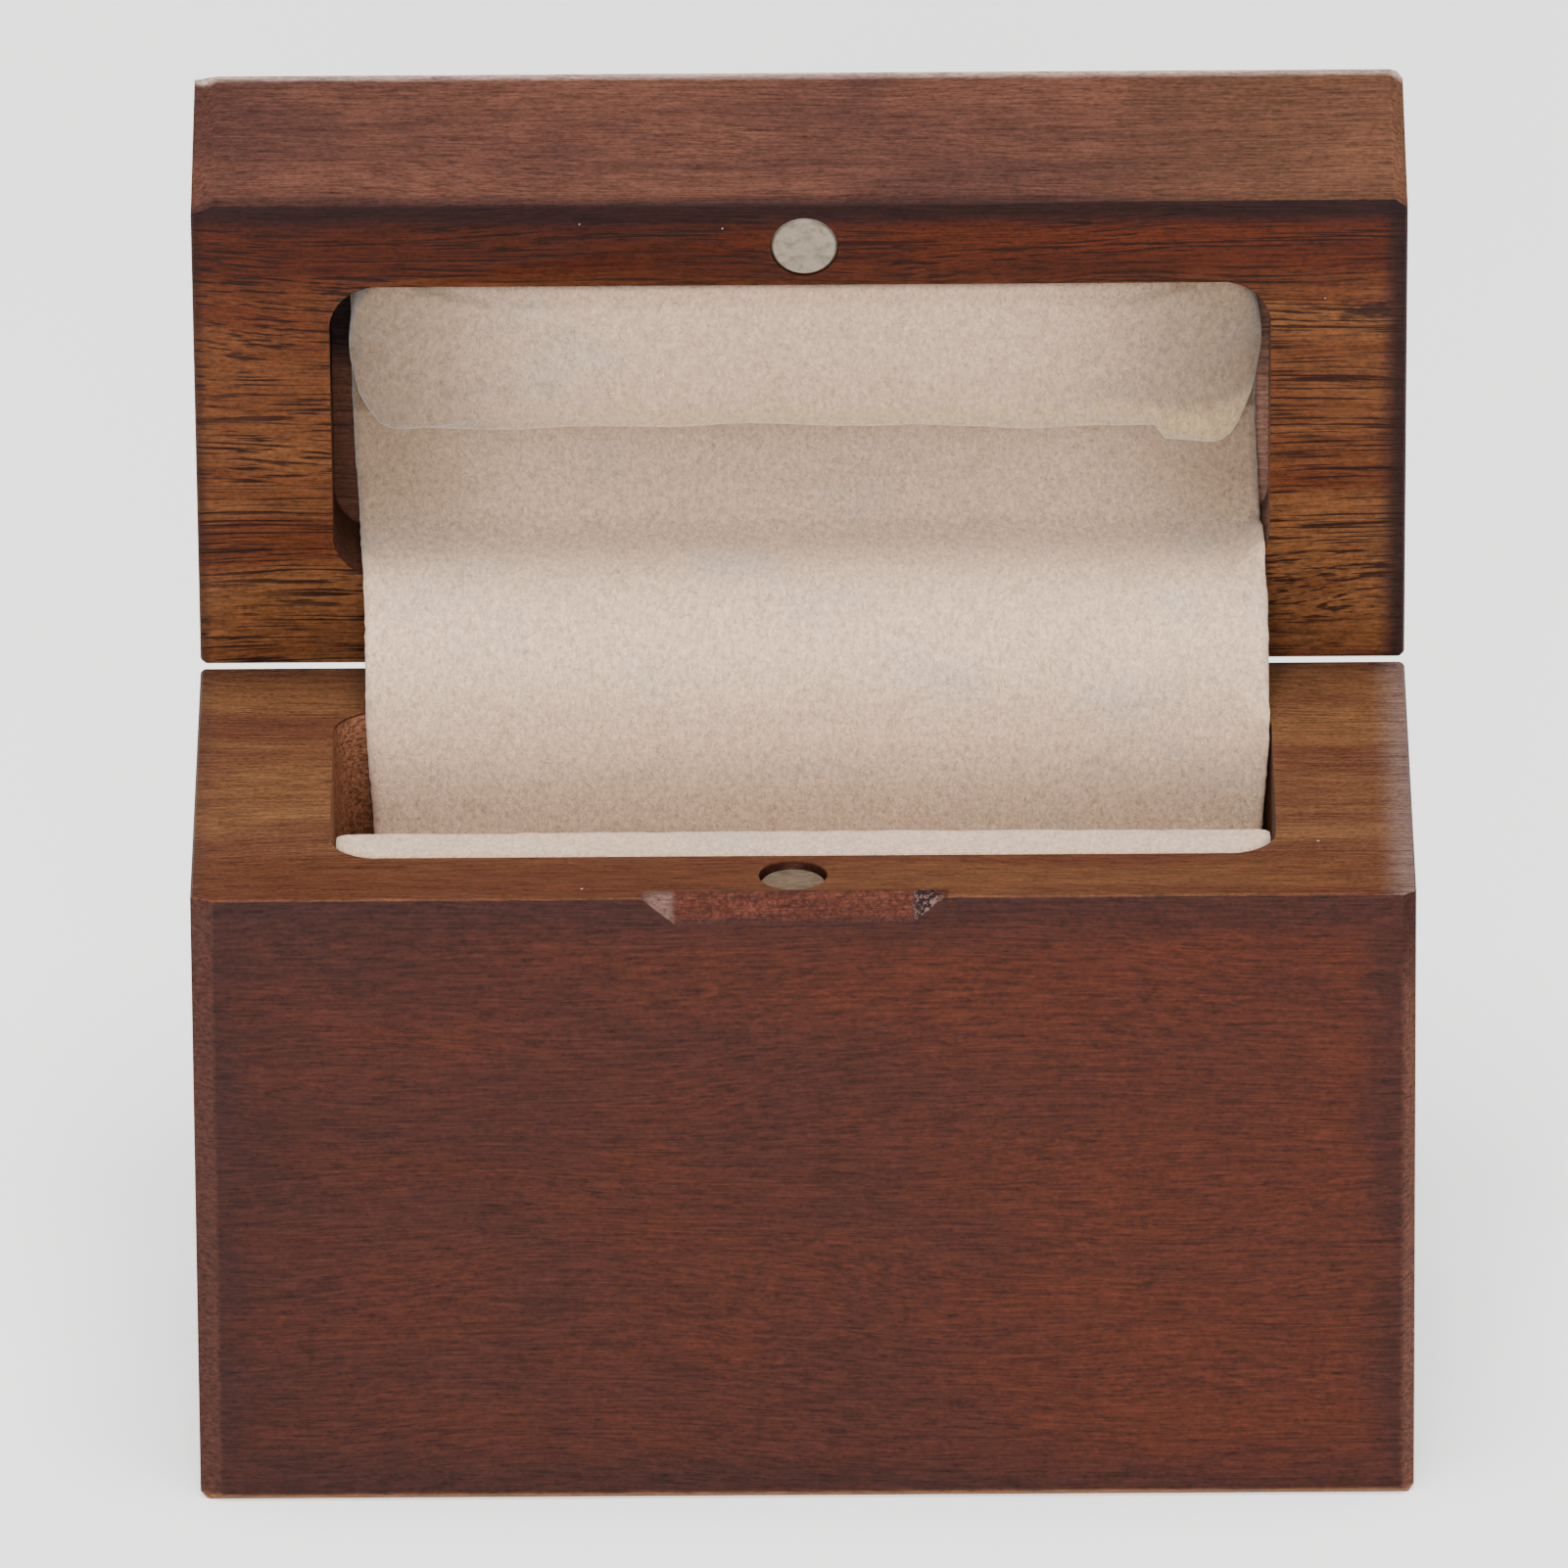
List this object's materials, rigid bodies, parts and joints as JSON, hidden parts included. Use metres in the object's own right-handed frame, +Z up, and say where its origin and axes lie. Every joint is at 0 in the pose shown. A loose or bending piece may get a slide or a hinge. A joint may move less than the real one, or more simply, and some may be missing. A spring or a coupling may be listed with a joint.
{
  "type": "ring box",
  "caption": "Slim wooden ring box standing open, with a hinged lid, magnet closure, soft pads and a suede lining strip.",
  "frame": {"origin": "centre of the base's underside, which is the face it stands on", "axes": "+X to the right seen from the front, +Y towards the hinge side at the back, +Z up"},
  "size_m": [0.073, 0.0479, 0.075],
  "materials": {
    "walnut": "satin oiled walnut, grain along X",
    "nickel": "worn nickel plate",
    "hinge_brass": "satin",
    "hinge_steel": "satin",
    "foam": "soft open-cell foam",
    "suede": "beige microfibre suede with a short nap"
  },
  "bodies": {
    "base": {"base_block": "walnut", "base_magnet": "nickel", "left_hinge_base_leaf": "hinge_brass", "left_hinge_pin": "hinge_steel", "left_hinge_base_screws": "hinge_steel", "right_hinge_base_leaf": "hinge_brass", "right_hinge_pin": "hinge_steel", "right_hinge_base_screws": "hinge_steel", "front_pad_foam": "foam", "front_pad_cover": "suede", "rear_cushion_foam": "foam", "base_lining": "suede", "bridge_lining": "suede"},
    "lid": {"lid_block": "walnut", "lid_magnet": "nickel", "left_hinge_lid_leaf": "hinge_brass", "left_hinge_lid_screws": "hinge_steel", "right_hinge_lid_leaf": "hinge_brass", "right_hinge_lid_screws": "hinge_steel", "lid_pad_foam": "foam", "lid_pad_cover": "suede", "lid_lining": "suede"}
  },
  "joints": [
    {"name": "lid_hinge", "type": "hinge", "parent": "base", "child": "lid", "pos_m": [0, 0.0166, 0.04005], "axis": [-1, 0, 0], "range_deg": [-81, 0], "deforming": ["bridge_lining"]}
  ]
}
